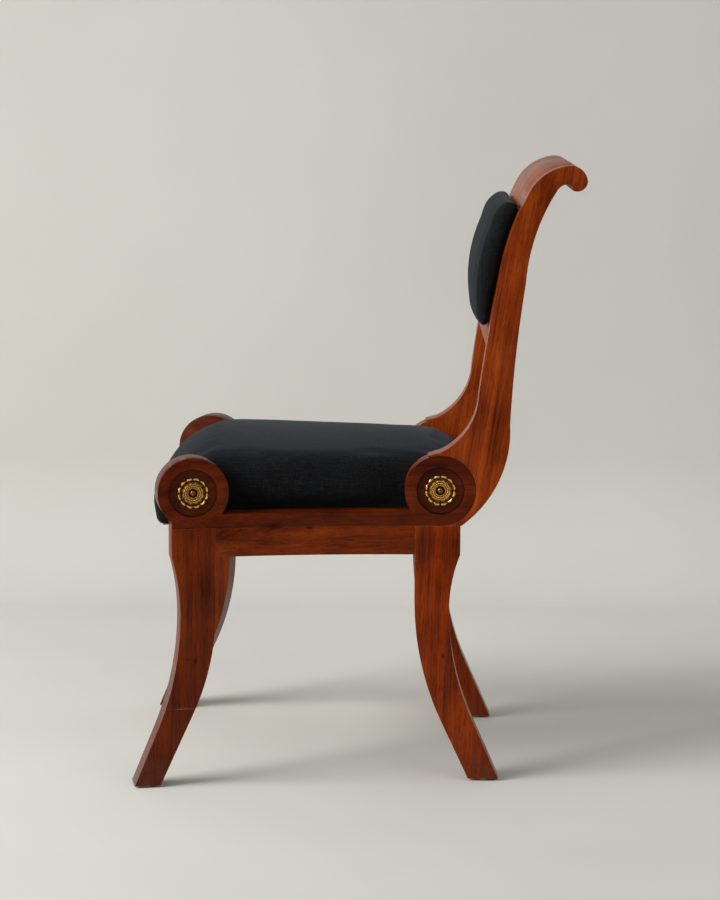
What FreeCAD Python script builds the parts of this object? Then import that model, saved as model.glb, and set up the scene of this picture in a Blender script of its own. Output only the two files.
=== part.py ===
# Klismos chair with bent side frames, sabre legs, a scrolled back and a drop-in seat.
# Millimetres. +Z is up, +X is the sitter's left, the chair faces -Y. The origin is on
# the floor, below the middle of the whole chair.
import FreeCAD, Part
import os
import re
import math
import Sketcher
from FreeCAD import Placement, Rotation, Vector

doc = FreeCAD.newDocument("klismos_chair")
sheet = doc.addObject("Spreadsheet::Sheet", "Sizes")
parts = []

# Driving dimensions, one row of the sheet each.
SIZES = {
    # Plan of a side: straight at the back, bent outwards to the front.
    "rear_half_width": 198.7,  # mid plane to the outer face of a rear leg
    "bend_radius": 1320,  # outer face of the bent stretch of a side
    "bend_angle": 12.2,  # turn of the front leg against the rear leg, in degrees
    "bend_end": 82,  # front face of the rear legs, from the origin
    "side_thick": 36,  # legs, scroll boards and stiles, measured across the chair
    # Heights and joints of the seat frame.
    "frame_top": 369,  # floor to the top of legs and seat rails
    "rail_depth": 41,  # height of the seat rails
    "rail_thick": 27,  # thickness of the seat rails
    "tenon_thick": 9,  # thickness of every tenon
    "tenon_length": 26,  # reach of a side rail's tenon into a leg
    "cross_tenon": 17,  # reach of a front or rear rail's tenon into a leg
    "tenon_shoulder": 6,  # rail left above and below a tenon
    "glue_gap": 0.1,  # clearance of a glued joint on each side
    "mortise_relief": 1,  # space left at the bottom of a mortise
    "front_rail_set": 4,  # front rail behind the front corner of the legs
    "rear_rail_set": 9,  # rear rail ahead of the rear face of the legs
    # Front leg, measured in the plane of its side.
    "front_post": 61.2,  # width of the front leg at the rails
    "front_knee_height": 250,  # start of the curve on the rear edge
    "front_knee_radius": 345,  # curve of the rear edge
    "front_toe_height": 105,  # start of the straight toe on the rear edge
    "front_neck_inset": 11.3,  # front edge set back at the neck
    "front_neck_height": 246,  # height of the neck
    "front_shin_radius": 420,  # curve of the front edge below the neck
    "front_shin_height": 85,  # start of the straight toe on the front edge
    # Rear leg.
    "rear_post": 64,  # width of the rear leg at the rails
    "rear_knee_height": 262,  # start of the curve on the front edge
    "rear_knee_radius": 415,  # curve of the front edge
    "rear_toe_height": 86,  # start of the straight toe on the front edge
    "rear_neck_inset": 15,  # rear edge set in at the neck
    "rear_neck_height": 248,  # height of the neck
    "rear_shin_radius": 390,  # curve of the rear edge below the neck
    "rear_shin_height": 90,  # start of the straight toe on the rear edge
    "glide_thick": 3,  # thickness of a glide under a foot
    "glide_radius": 13,  # radius of a glide
    "glide_nail": 18,  # length of the nail of a glide
    "nail_radius": 1.5,  # radius of the nail of a glide
    # Scroll board of a side.
    "disc_radius": 50,  # radius of the round ends
    "board_rise": 19.5,  # height of the board between the discs
    "front_disc_set": 30.7,  # axis of the front disc ahead of the bend
    "rear_disc_set": 35.5,  # axis of the rear disc behind the bend
    "dish_radius": 33,  # radius of the turned dish in a disc
    "dish_depth": 3.5,  # depth of the turned dish in a disc
    "joint_gap": 0.2,  # gap between a disc and the stile round it
    "dowel_radius": 4,  # radius of the dowels
    "dowel_reach": 14,  # length of a dowel in each of its two pieces
    # Rosettes and their pins.
    "rosette_radius": 21.5,  # radius of a rosette over its petals
    "rosette_rim": 1.3,  # thickness of a rosette at its petals
    "rosette_web": 1.6,  # thickness of a rosette inside its inner ring
    "ring_height": 1.2,  # height of a raised ring over the petals
    "outer_ring": 13.5,  # radius of the outer raised ring
    "inner_ring": 9.2,  # radius of the inner raised ring
    "ring_width": 3,  # width of a raised ring
    "petal_count": 12,  # scallops round a rosette
    "notch_radius": 4.6,  # radius of the notch between two petals
    "pin_radius": 1.6,  # shank of the pin that holds a rosette
    "pin_head": 4,  # radius of the head of that pin
    "pin_dome": 2.2,  # height of the head of that pin
    "pin_length": 14,  # shank of the pin below its head
    # Back stile, measured from the front face of the rear leg and from the floor.
    "heel_set": 65,  # heel of the stile on the leg
    "heel_radius": 165,  # bulge of the rear edge above the heel
    "loin_set": 132,  # rear edge at the loin
    "loin_height": 513,  # height of the loin
    "spine_radius": 1900,  # hollow of the rear edge above the loin
    "shoulder_set": 151.5,  # rear edge at the shoulder
    "shoulder_height": 712,  # height of the shoulder
    "shoulder_radius": 275,  # curve of the rear edge to the scroll
    "scroll_set": 235,  # rearmost point of the scroll
    "crown_height": 873.5,  # height of the chair
    "crown_radius": 23,  # curve over the scroll's end
    "crown_back": 25,  # highest point of the scroll, ahead of its end
    "scroll_drop": 22,  # rearmost point of the scroll, below its highest
    "bulb_radius": 14.5,  # curve under the scroll's lip
    "lip_back": 20,  # inner side of the lip, ahead of the scroll's end
    "lip_drop": 34,  # lip below the crown
    "lip_radius": 9,  # curve from the lip to the hollow's top
    "hollow_top_back": 29,  # top of the hollow, ahead of the scroll's end
    "hollow_top_drop": 25.5,  # top of the hollow, below the crown
    "hollow_radius": 17,  # curve of the hollow
    "hollow_back": 42,  # start of the hollow, ahead of the scroll's end
    "hollow_drop": 34,  # start of the hollow, below the crown
    "brow_radius": 70,  # curve of the front edge below the scroll
    "brow_back": 82,  # front edge at the brow, ahead of the scroll's end
    "brow_drop": 40,  # brow below the crown
    "chest_radius": 390,  # curve of the front edge behind the back pad
    "chest_set": 115,  # front edge at the chest
    "chest_height": 719,  # height of the chest
    "waist_radius": 2600,  # curve of the front edge down to the waist
    "waist_set": 88,  # front edge at the waist
    "waist_height": 555,  # height of the waist
    "lap_radius": 94,  # curve of the front edge down to the disc
    "lap_rise": 4.5,  # end of that curve above the top of the disc
    "toe_angle": 110,  # end of the stile round the disc, in degrees from the back
    "toe_thick": 2.5,  # thickness of the stile's toe at its end
    # Back between the stiles.
    "fit_gap": 0.15,  # gap between a fitted rail and a stile
    "crest_depth": 62,  # crest rail, from the crown down to its lower edge
    "back_height": 252,  # upholstered back, from the crown down to the lower edge of its lower rail
    "back_rail_height": 42,  # height of the lower back rail
    "back_dowel_radius": 3.5,  # radius of the dowels of the back rails
    "back_dowel_reach": 16,  # length of such a dowel in each of its two pieces
    "cloth_turn": 2.5,  # edge of the cloth on the outside of the back, below the top of the hollow
    "panel_thick": 9,  # thickness of the back panel
    "pad_bulge": 37,  # back pad ahead of the stiles, in the middle
    "pad_edge": 0.5,  # share of that bulge at the sides of the pad
    "pad_foot_rise": 22,  # lower edge of the back pad above that of the lower back rail
    "pad_drop": 47.5,  # highest point of the back pad, below the crown
    "pad_side_gap": 1.5,  # back pad inside the stiles
    "cloth": 1.2,  # thickness of a fabric cover
    "soft_gap": 0.3,  # clearance of soft pieces
    # Drop-in seat.
    "dust_cloth": 0.8,  # thickness of the cloth under the seat
    "seat_rail_height": 20,  # height of the seat's own frame
    "seat_rail_width": 42,  # width of the side rails of the seat's own frame
    "seat_end_width": 60,  # width of its front rail
    "seat_back_width": 50,  # width of its rear rail
    "seat_wrap": 5,  # padding beside and behind the seat's own frame
    "seat_corner": 14,  # rounding of the seat's front corners in plan
    "front_padding": 8,  # padding in front of the seat's own frame
    "web_thick": 1.4,  # thickness of the webbing
    "web_width": 50,  # width of a strip of webbing
    "hessian_thick": 0.8,  # thickness of the hessian
    "web_inset": 9,  # end of a strip of webbing inside the edge of the frame
    "seat_height": 117,  # highest point of the seat over the frame
    "seat_fall": 0.022,  # fall of the seat to the back, as a share of its length
    "seat_lead": 20.5,  # front face of the seat ahead of the front rail
    "seat_tail": 68,  # rear end of the seat behind the front faces of the rear legs
    "seat_side_gap": 1.2,  # seat inside the scroll boards
    "front_roll": 90,  # length of the rounding at the front of the seat
    "front_roll_depth": 65,  # fall of the seat over that length
    "rear_roll": 65,  # length of the rounding at the rear of the seat
    "rear_roll_depth": 26,  # fall of the seat over that length
    "seat_overhang": 11,  # cushion over the scroll boards
    "disc_clear": 4.3,  # cushion starts to swell this far from a disc
    "swell_run": 55,  # length over which it swells to the full
    "board_gap": 2,  # gap between the cushion and the top of a scroll board
    "block_length": 44,  # length of a corner block along a rail
    "block_height": 30,  # height of a corner block
    "block_drop": 1,  # corner block below the top of the rails
    "screw_radius": 2,  # shank of the wood screws
    "screw_head": 4.2,  # radius of the head of a wood screw
    "screw_head_thick": 2.4,  # height of that head
    "screw_bite": 14,  # length of a seat screw in the seat frame
}
for row, (alias, measure) in enumerate(SIZES.items(), 1):
    sheet.set("A%d" % row, alias.replace("_", " "))
    sheet.set("B%d" % row, str(measure))
    sheet.setAlias("B%d" % row, alias)
doc.recompute()

words = re.compile(r"\b[a-z][a-z_]+\b")


def bound(text):
    """An expression on the sheet, from a text that uses the plain names of sizes."""
    return words.sub(lambda m: "Sizes." + m.group(0) if m.group(0) in SIZES else m.group(0), text)


def number(text):
    """The present value of such a text."""
    value = sheet.evalExpression(bound(text))
    return float(getattr(value, "Value", value))


# Derived measures, as texts on the sizes.
BEND_AXIS_X = "(rear_half_width + bend_radius)"
SIDE_INNER = "(bend_radius + side_thick)"
RAIL_BOTTOM = "(frame_top - rail_depth)"
DISC_HEIGHT = "(frame_top + disc_radius)"
INNER_HALF = "(rear_half_width - side_thick)"
TURN = {"front": "bend_angle", "rear": "0", "chair": "0", "back": "0"}


def origin_of(frame):
    """Where a frame has its zero: on the bend axis for the sides, else in the mid plane."""
    if frame in ("front", "rear"):
        return BEND_AXIS_X, "bend_end"
    return "0", "bend_end" if frame == "back" else "0"


def put(item, frame, x="0", y="0", z="0", turned=Rotation()):
    """Places an item in a frame. The front frame is the rear one turned about the bend axis."""
    x0, y0 = origin_of(frame)
    turn = TURN[frame]
    item.Placement = Placement(Vector(), Rotation(Vector(0, 0, 1), number(turn)) * turned)
    item.setExpression("Placement.Base.x", bound("%s + (%s) * cos(%s) - (%s) * sin(%s)" % (x0, x, turn, y, turn)))
    item.setExpression("Placement.Base.y", bound("%s + (%s) * sin(%s) + (%s) * cos(%s)" % (y0, x, turn, y, turn)))
    item.setExpression("Placement.Base.z", bound(z))
    return item


def box(name, frame, corner, spans):
    item = doc.addObject("Part::Box", name)
    for side, span in zip(("Length", "Width", "Height"), spans):
        item.setExpression(side, bound(span))
    return put(item, frame, *corner)


def rod(name, frame, centre, radius, length, along="x"):
    """A cylinder from its centre point on, along +x, +y or +z of the frame."""
    item = doc.addObject("Part::Cylinder", name)
    item.setExpression("Radius", bound(radius))
    item.setExpression("Height", bound(length))
    turned = {"x": Rotation(Vector(0, 1, 0), 90), "y": Rotation(Vector(1, 0, 0), -90), "z": Rotation()}[along]
    return put(item, frame, *centre, turned=turned)


def cut(name, base, tools):
    item = doc.addObject("Part::Cut", name)
    item.Base = base
    item.Tool = tools[0] if len(tools) == 1 else fuse(name + "_tools", tools)
    return item


def fuse(name, shapes):
    item = doc.addObject("Part::MultiFuse", name)
    item.Shapes = shapes
    item.Refine = True
    return item


def common(name, first, second):
    item = doc.addObject("Part::Common", name)
    item.Base = first
    item.Tool = second
    return item


def piece(item, label):
    """Marks an item as a finished sub-part and gives it its name."""
    item.Label = label
    parts.append(item)
    return item


def twin(item, name):
    """The same shape on the other side of the mid plane."""
    other = doc.addObject("Part::Mirroring", name)
    other.Source = item
    other.Base = Vector(0, 0, 0)
    other.Normal = Vector(1, 0, 0)
    return other


def mirrored(item, label):
    return piece(twin(item, label + "_twin"), label)


def both_sides(name, items):
    """A group of tools on the left side and its twin on the right."""
    left = fuse(name, items) if len(items) > 1 else items[0]
    return [left, twin(left, name + "_twin")]


def draw(sketch, nodes):
    """Draws a closed outline. A node is (x, y) before a line, or (x, y, turn, radius) before
    an arc that turns left or right, of less than half a circle."""
    spots = [Vector(number(n[0]), number(n[1]), 0) for n in nodes]
    ends = []
    for i, node in enumerate(nodes):
        p, q = spots[i], spots[(i + 1) % len(spots)]
        if len(node) == 2:
            ends.append((sketch.addGeometry(Part.LineSegment(p, q), False), 1, 2))
            continue
        left = node[2] == "left"
        radius = number(node[3])
        chord = q - p
        rise = math.sqrt(radius ** 2 - chord.Length ** 2 / 4)
        side = Vector(-chord.y, chord.x, 0).normalize()
        centre = (p + q) * 0.5 + side * (rise if left else -rise)
        angles = [math.atan2(e.y - centre.y, e.x - centre.x) for e in ((p, q) if left else (q, p))]
        if angles[1] < angles[0]:
            angles[1] += 2 * math.pi
        circle = Part.Circle(centre, Vector(0, 0, 1), radius)
        edge = sketch.addGeometry(Part.ArcOfCircle(circle, *angles), False)
        ends.append((edge, 1, 2) if left else (edge, 2, 1))
        rule = sketch.addConstraint(Sketcher.Constraint("Radius", edge, radius))
        sketch.setExpression("Constraints[%d]" % rule, bound(node[3]))
    for i, (edge, first, last) in enumerate(ends):
        follower, start, _ = ends[(i + 1) % len(ends)]
        sketch.addConstraint(Sketcher.Constraint("Coincident", edge, last, follower, start))
        for kind, text, value in (("DistanceX", nodes[i][0], spots[i].x), ("DistanceY", nodes[i][1], spots[i].y)):
            rule = sketch.addConstraint(Sketcher.Constraint(kind, -1, 1, edge, first, value))
            sketch.setExpression("Constraints[%d]" % rule, bound(text))


def plate(name, frame, plane, level, thick, nodes):
    """A body of one thickness: an outline on a plane of the body, padded along its normal."""
    body = doc.addObject("PartDesign::Body", name)
    add_pad(body, name, plane, level, thick, nodes)
    return put(body, frame)


def add_pad(body, name, plane, level, thick, nodes):
    sketch = body.newObject("Sketcher::SketchObject", name + "_outline")
    sketch.AttachmentSupport = [(next(f for f in body.Origin.OriginFeatures if f.Role == plane), "")]
    sketch.MapMode = "FlatFace"
    sketch.setExpression("AttachmentOffset.Base.z", bound(level))
    draw(sketch, nodes)
    pad = body.newObject("PartDesign::Pad", name + "_pad")
    pad.Profile = sketch
    pad.setExpression("Length", bound(thick))
    body.Tip = pad
    return pad


# Legs. Their edges are upright at the rails, curve away and end in a straight toe.
def drop(radius, height, end):
    """How far an arc that starts upright at a height has moved aside at its end."""
    return "(%s - sqrt(%s ^ 2 - (%s - %s) ^ 2))" % (radius, radius, height, end)


def toe(radius, height, end):
    """How far the straight toe below that arc moves on, down to the glide."""
    return "((%s - glide_thick) * (%s - %s) / sqrt(%s ^ 2 - (%s - %s) ^ 2))" % (end, height, end, radius, height, end)


def leg_outline(which, sign):
    """Outline in the plane of the side; sign is - for a leg that sweeps forward."""
    post, neck, inset = which + "_post", which + "_neck_height", which + "_neck_inset"
    knee = (which + "_knee_radius", which + "_knee_height", which + "_toe_height")
    shin = (which + "_shin_radius", neck, which + "_shin_height")
    inner = "left" if sign == "" else "right"
    outer = "right" if sign == "" else "left"
    neck_set = "%s1 * (%s - %s)" % (sign, post, inset)
    return [
        (sign + "1 * " + post, "frame_top"),
        ("0", "frame_top"),
        ("0", knee[1], inner, knee[0]),
        (sign + "1 * " + drop(*knee), knee[2]),
        ("%s1 * (%s + %s)" % (sign, drop(*knee), toe(*knee)), "glide_thick"),
        ("%s1 * (%s - %s + %s + %s)" % (sign, post, inset, drop(*shin), toe(*shin)), "glide_thick"),
        ("%s1 * (%s - %s + %s)" % (sign, post, inset, drop(*shin)), shin[2], outer, shin[0]),
        (neck_set, neck, outer, "((%s - %s) ^ 2 + %s ^ 2) / (2 * %s)" % (RAIL_BOTTOM, neck, inset, inset)),
        (sign + "1 * " + post, RAIL_BOTTOM),
    ]


def inner_face_x(y):
    """Inner face of the left front leg at a depth y of the chair."""
    return ("(%s - %s * cos(bend_angle) - ((%s) - bend_end + %s * sin(bend_angle)) * tan(bend_angle))"
            % (BEND_AXIS_X, SIDE_INNER, y, SIDE_INNER))


FRONT_RAIL_Y = "(bend_end - %s * sin(bend_angle) - front_post * cos(bend_angle) + front_rail_set)" % SIDE_INNER
REAR_RAIL_Y = "(bend_end + rear_post - rear_rail_set - rail_thick)"
TENON_HEIGHT = "(rail_depth - 2 * tenon_shoulder)"
SIDE_TENON_X = "(bend_radius + rail_thick / 2 + tenon_thick / 2)"


def side_mortise(which, y):
    """Mortise for the tenon of a side rail, in the frame of its leg."""
    return box(which + "_side_mortise", which,
               ("-%s - glue_gap" % SIDE_TENON_X, y, "%s + tenon_shoulder - glue_gap" % RAIL_BOTTOM),
               ("tenon_thick + 2 * glue_gap", "tenon_length + mortise_relief", TENON_HEIGHT + " + 2 * glue_gap"))


def cross_mortise(which, inner_x, rail_y):
    """Mortise for the tenon of the front or rear rail, straight across the chair."""
    return box(which + "_cross_mortise", "chair",
               (inner_x + " - side_thick / 2", "%s + (rail_thick - tenon_thick) / 2 - glue_gap" % rail_y,
                "%s + tenon_shoulder - glue_gap" % RAIL_BOTTOM),
               ("side_thick / 2 + cross_tenon + mortise_relief", "tenon_thick + 2 * glue_gap",
                TENON_HEIGHT + " + 2 * glue_gap"))


FRONT_TENON_ROOT = inner_face_x(FRONT_RAIL_Y + " + rail_thick / 2")


def foot_middle(which):
    """Middle of the foot's underside, along its side."""
    knee = (which + "_knee_radius", which + "_knee_height", which + "_toe_height")
    shin = (which + "_shin_radius", which + "_neck_height", which + "_shin_height")
    return "((%s + %s + %s_post - %s_neck_inset + %s + %s) / 2)" % (
        drop(*knee), toe(*knee), which, which, drop(*shin), toe(*shin))


FOOT = {"front": "-1 * " + foot_middle("front"), "rear": foot_middle("rear")}
DOWEL_SET = "(tenon_length + mortise_relief + dowel_radius + 3 * glue_gap)"
DOWELS = {"front": "-1 * " + DOWEL_SET, "rear": DOWEL_SET}
MID_SIDE_X = "-(bend_radius + side_thick / 2)"


def dowel(name, frame, y, gap="0"):
    """An upright dowel through the joint of the scroll board with what carries it."""
    return rod(name, frame, ("-(bend_radius + rail_thick / 2)", y, "frame_top - dowel_reach - (%s)" % gap),
               "dowel_radius + %s / 20" % ("0" if gap == "0" else "glue_gap"), "2 * (dowel_reach + %s)" % gap, "z")


def nail_hole(which):
    return rod(which + "_nail_hole", which, (MID_SIDE_X, FOOT[which], "0"), "nail_radius",
               "glide_thick + glide_nail + mortise_relief", "z")


def make_leg(which, sign, mortise_y, inner_x, rail_y):
    blank = plate(which + "_leg_blank", which, "YZ_Plane", "-" + SIDE_INNER, "side_thick", leg_outline(which, sign))
    tools = [side_mortise(which, mortise_y), cross_mortise(which, inner_x, rail_y), nail_hole(which),
             dowel(which + "_leg_bore", which, DOWELS[which], "mortise_relief")]
    left = piece(cut(which + "_leg", blank, tools), which + "_leg_left")
    mirrored(left, which + "_leg_right")


make_leg("front", "-", "-(tenon_length + mortise_relief)", FRONT_TENON_ROOT, FRONT_RAIL_Y)
make_leg("rear", "", "0", INNER_HALF, REAR_RAIL_Y)


# Side rails: bent, tenoned into both legs.
def bent_board(name, thick, foot, height):
    """A board bent about the upright bend axis, its outer face flush with the legs."""
    outer = doc.addObject("Part::Cylinder", name + "_inner_face")
    core = doc.addObject("Part::Cylinder", name + "_outer_face")
    for item, radius in ((outer, "bend_radius + " + thick), (core, "bend_radius")):
        item.setExpression("Radius", bound(radius))
        item.setExpression("Height", bound(height))
        item.setExpression("Angle", bound("bend_angle"))
        put(item, "rear", z=foot, turned=Rotation(Vector(0, 0, 1), 180))
    return cut(name, outer, [core])


def side_tenon(name, frame, y):
    return box(name, frame, ("-" + SIDE_TENON_X, y, "%s + tenon_shoulder" % RAIL_BOTTOM),
               ("tenon_thick", "tenon_length", TENON_HEIGHT))


MID_BEND = "-(bend_radius + rail_thick / 2) * sin(bend_angle / 2)"
mid_bore_x = "-(bend_radius + rail_thick / 2) * cos(bend_angle / 2)"


def mid_dowel(name, gap="0"):
    """The dowel half way along the bent rail."""
    return rod(name, "rear", (mid_bore_x, MID_BEND, "frame_top - dowel_reach - (%s)" % gap), "dowel_radius",
               "2 * (dowel_reach + %s)" % gap, "z")


side_rail = fuse("side_rail_tenoned", [bent_board("side_rail_board", "rail_thick", RAIL_BOTTOM, "rail_depth"),
                                       side_tenon("side_tenon_front", "front", "-tenon_length"),
                                       side_tenon("side_tenon_rear", "rear", "0")])
side_rail = piece(cut("side_rail", side_rail, [mid_dowel("side_rail_bore", "mortise_relief")]), "side_rail_left")
mirrored(side_rail, "side_rail_right")


# Front and rear rails, with a tenon at each end.
def cross_rail(name, front_y, end_front, end_rear, root):
    body = doc.addObject("PartDesign::Body", name)
    add_pad(body, name + "_board", "XY_Plane", RAIL_BOTTOM, "rail_depth", [
        ("-1 * " + end_front, front_y), (end_front, front_y),
        (end_rear, front_y + " + rail_thick"), ("-1 * " + end_rear, front_y + " + rail_thick")])
    tongue = "(%s + (rail_thick - tenon_thick) / 2)" % front_y
    reach = "(%s + cross_tenon)" % root
    add_pad(body, name + "_tenons", "XY_Plane", "%s + tenon_shoulder" % RAIL_BOTTOM, TENON_HEIGHT, [
        ("-1 * " + reach, tongue), (reach, tongue),
        (reach, tongue + " + tenon_thick"), ("-1 * " + reach, tongue + " + tenon_thick")])
    return piece(put(body, "chair"), name)


cross_rail("front_rail", FRONT_RAIL_Y, inner_face_x(FRONT_RAIL_Y), inner_face_x(FRONT_RAIL_Y + " + rail_thick"),
           FRONT_TENON_ROOT)
cross_rail("rear_rail", REAR_RAIL_Y, INNER_HALF, INNER_HALF, INNER_HALF)


# Scroll board of a side: two discs joined by a low board, bent like the side rail.
DISC_AXIS = {"front": "-1 * front_disc_set", "rear": "rear_disc_set"}


def disc(name, which, x, radius, thick):
    return rod(name, which, (x, DISC_AXIS[which], DISC_HEIGHT), radius, thick)


front_lip = "(front_post - front_disc_set)"
scroll_blank = fuse("scroll_blank", [
    bent_board("scroll_board", "side_thick", "frame_top", "board_rise"),
    box("scroll_front_block", "front", ("-" + SIDE_INNER, "-front_disc_set", "frame_top"),
        ("side_thick", "front_disc_set", "board_rise")),
    box("scroll_front_lip", "front", ("-" + SIDE_INNER, "-front_post", "frame_top"),
        ("side_thick", front_lip, "disc_radius - sqrt(disc_radius ^ 2 - %s ^ 2)" % front_lip)),
    disc("scroll_front_disc", "front", "-" + SIDE_INNER, "disc_radius", "side_thick"),
    box("scroll_rear_block", "rear", ("-" + SIDE_INNER, "0", "frame_top"),
        ("side_thick", "rear_disc_set", "board_rise")),
    disc("scroll_rear_disc", "rear", "-(bend_radius + side_thick / 2)", "disc_radius", "side_thick / 2"),
])
scroll_tools = [
    disc("stile_seat", "rear", "-%s - side_thick / 2" % SIDE_INNER, "disc_radius + joint_gap", "side_thick"),
    mid_dowel("scroll_mid_bore", "mortise_relief"),
]
for which in ("front", "rear"):
    scroll_tools += [
        disc("dish_" + which, which, "-(bend_radius + dish_depth)", "dish_radius", "dish_depth + side_thick / 2"),
        disc("pin_bore_" + which, which, "-(bend_radius + dish_depth + pin_length)", "pin_radius + glue_gap / 2",
             "pin_length"),
        dowel("scroll_bore_" + which, which, DOWELS[which], "mortise_relief"),
    ]
scroll_rail = piece(cut("scroll_rail", scroll_blank, scroll_tools), "scroll_rail_left")
mirrored(scroll_rail, "scroll_rail_right")


# Back stile: its foot is halved behind the rear disc, its top rolls back into a scroll.
def from_scroll(back, fall):
    """A point of the scroll, measured from its rearmost point and from the crown."""
    return "(scroll_set - %s)" % back, "(crown_height - %s)" % fall


BROW = from_scroll("brow_back", "brow_drop")
HOLLOW = from_scroll("hollow_back", "hollow_drop")
HOLLOW_TOP = from_scroll("hollow_top_back", "hollow_top_drop")
CROWN = ("(scroll_set - crown_back)", "crown_height")
STILE_OUTLINE = [
    ("heel_set", "frame_top", "left", "heel_radius"),
    ("loin_set", "loin_height", "right", "spine_radius"),
    ("shoulder_set", "shoulder_height", "right", "shoulder_radius"),
    HOLLOW + ("right", "hollow_radius"),
    HOLLOW_TOP + ("right", "lip_radius"),
    from_scroll("lip_back", "lip_drop") + ("left", "bulb_radius"),
    ("scroll_set", "crown_height - scroll_drop", "left", "crown_radius"),
    CROWN + ("left", "brow_radius"),
    BROW + ("left", "chest_radius"),
    ("chest_set", "chest_height", "left", "waist_radius"),
    ("waist_set", "waist_height", "right", "lap_radius"),
    ("rear_disc_set", "%s + disc_radius + lap_rise" % DISC_HEIGHT),
    ("rear_disc_set + (disc_radius + toe_thick) * cos(toe_angle)",
     "%s + (disc_radius + toe_thick) * sin(toe_angle)" % DISC_HEIGHT),
    ("rear_disc_set", DISC_HEIGHT),
    ("rear_disc_set", "frame_top"),
]
stile_blank = plate("stile_blank", "rear", "YZ_Plane", "-" + SIDE_INNER, "side_thick", STILE_OUTLINE)
stile_outer = cut("stile_outer", stile_blank, [
    disc("disc_clearance", "rear", "-(bend_radius + side_thick / 2)", "disc_radius + joint_gap", "side_thick")])
stile_blank = fuse("stile_halved", [stile_outer, disc("stile_tongue", "rear", "-" + SIDE_INNER, "disc_radius",
                                                      "side_thick / 2")])


# Dowels across the joints of the crest rail and the lower back rail with the stiles.
def chest_line(z):
    """Front edge of the stiles between waist and chest, along its chord."""
    return "(waist_set + (chest_set - waist_set) * (%s - waist_height) / (chest_height - waist_height))" % z


BACK_FOOT = "(crown_height - back_height)"
LOW_DOWELS = [BACK_FOOT + " + back_rail_height * 0.25", BACK_FOOT + " + back_rail_height * 0.75"]
BACK_DOWELS = [(chest_line(z) + " + loin_set / 6", z) for z in LOW_DOWELS] + [
    ("(%s + %s) / 2" % (BROW[0], HOLLOW[0]), BROW[1] + " - back_dowel_radius"),
    ("(%s + %s) / 2" % (CROWN[0], HOLLOW_TOP[0]), "(%s + %s) / 2" % (CROWN[1], HOLLOW_TOP[1])),
]


def back_dowels(name, spots, room="0"):
    return [rod("%s_%d" % (name, i), "back", ("%s - back_dowel_reach - %s" % (INNER_HALF, room), y, z),
                "back_dowel_radius + %s / 20" % room, "2 * (back_dowel_reach + %s)" % room)
            for i, (y, z) in enumerate(spots)]


stile = piece(cut("stile", stile_blank, back_dowels("stile_bore", BACK_DOWELS, "mortise_relief")), "back_stile_left")
mirrored(stile, "back_stile_right")
dowels = piece(fuse("back_dowels_one_side", back_dowels("back_dowel", BACK_DOWELS)), "back_dowels_left")
mirrored(dowels, "back_dowels_right")


# Rails, panel and outside cloth of the back follow the outline of the stiles.
def between_stiles(name, foot, top, shift="0", reach="2 * scroll_set"):
    """A piece across the back between two heights. A shift leaves a layer of that thickness
    at the front of the outline, or at its rear if it is negative."""
    width = "2 * (%s - fit_gap)" % INNER_HALF
    blank = plate(name + "_blank", "back", "YZ_Plane", "-(%s - fit_gap)" % INNER_HALF, width, STILE_OUTLINE)
    slab = box(name + "_slab", "chair", ("-" + INNER_HALF, "0", foot),
               ("2 * " + INNER_HALF, "bend_end + " + reach, "%s - (%s)" % (top, foot)))
    item = common(name + "_slice", blank, slab)
    if shift == "0":
        return item
    rest = plate(name + "_rest", "back", "YZ_Plane", "-" + INNER_HALF, "2 * " + INNER_HALF, STILE_OUTLINE)
    rest.setExpression("Placement.Base.y", bound("bend_end + " + shift))
    return cut(name, item, [rest])


CREST_FOOT = "(crown_height - crest_depth)"
outside_cloth = between_stiles("outside_cloth", BACK_FOOT, HOLLOW_TOP[1] + " - cloth_turn", "-1 * cloth",
                               HOLLOW_TOP[0])
piece(outside_cloth, "outside_back_cover")
crest = between_stiles("crest", CREST_FOOT, "crown_height + lip_radius")
piece(cut("crest_bored", crest, [outside_cloth] + both_sides(
    "crest_bores", back_dowels("crest_bore", BACK_DOWELS[2:], "mortise_relief"))), "crest_rail")
back_rail_top = "(%s + back_rail_height)" % BACK_FOOT
lower_rail = between_stiles("lower_rail", BACK_FOOT, back_rail_top)
piece(cut("lower_rail_bored", lower_rail, [outside_cloth] + both_sides(
    "lower_rail_bores", back_dowels("lower_rail_bore", BACK_DOWELS[:2], "mortise_relief"))), "lower_back_rail")
piece(between_stiles("panel", back_rail_top + " + glue_gap", CREST_FOOT + " - glue_gap", "panel_thick"),
      "back_panel")


# Glides under the feet: a cap with its nail.
for which in ("front", "rear"):
    glide = fuse(which + "_glide", [
        rod(which + "_glide_cap", which, (MID_SIDE_X, FOOT[which], "0"), "glide_radius", "glide_thick", "z"),
        rod(which + "_glide_nail", which, (MID_SIDE_X, FOOT[which], "glide_thick / 2"), "nail_radius - glue_gap / 2",
            "glide_nail + glide_thick / 2", "z")])
    mirrored(piece(glide, which + "_glide_left"), which + "_glide_right")


# Dowels between scroll boards and the frame below.
side_dowels = fuse("side_dowels", [dowel("front_dowel", "front", DOWELS["front"]), mid_dowel("mid_dowel"),
                                   dowel("rear_dowel", "rear", DOWELS["rear"])])
mirrored(piece(side_dowels, "scroll_dowels_left"), "scroll_dowels_right")

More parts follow.
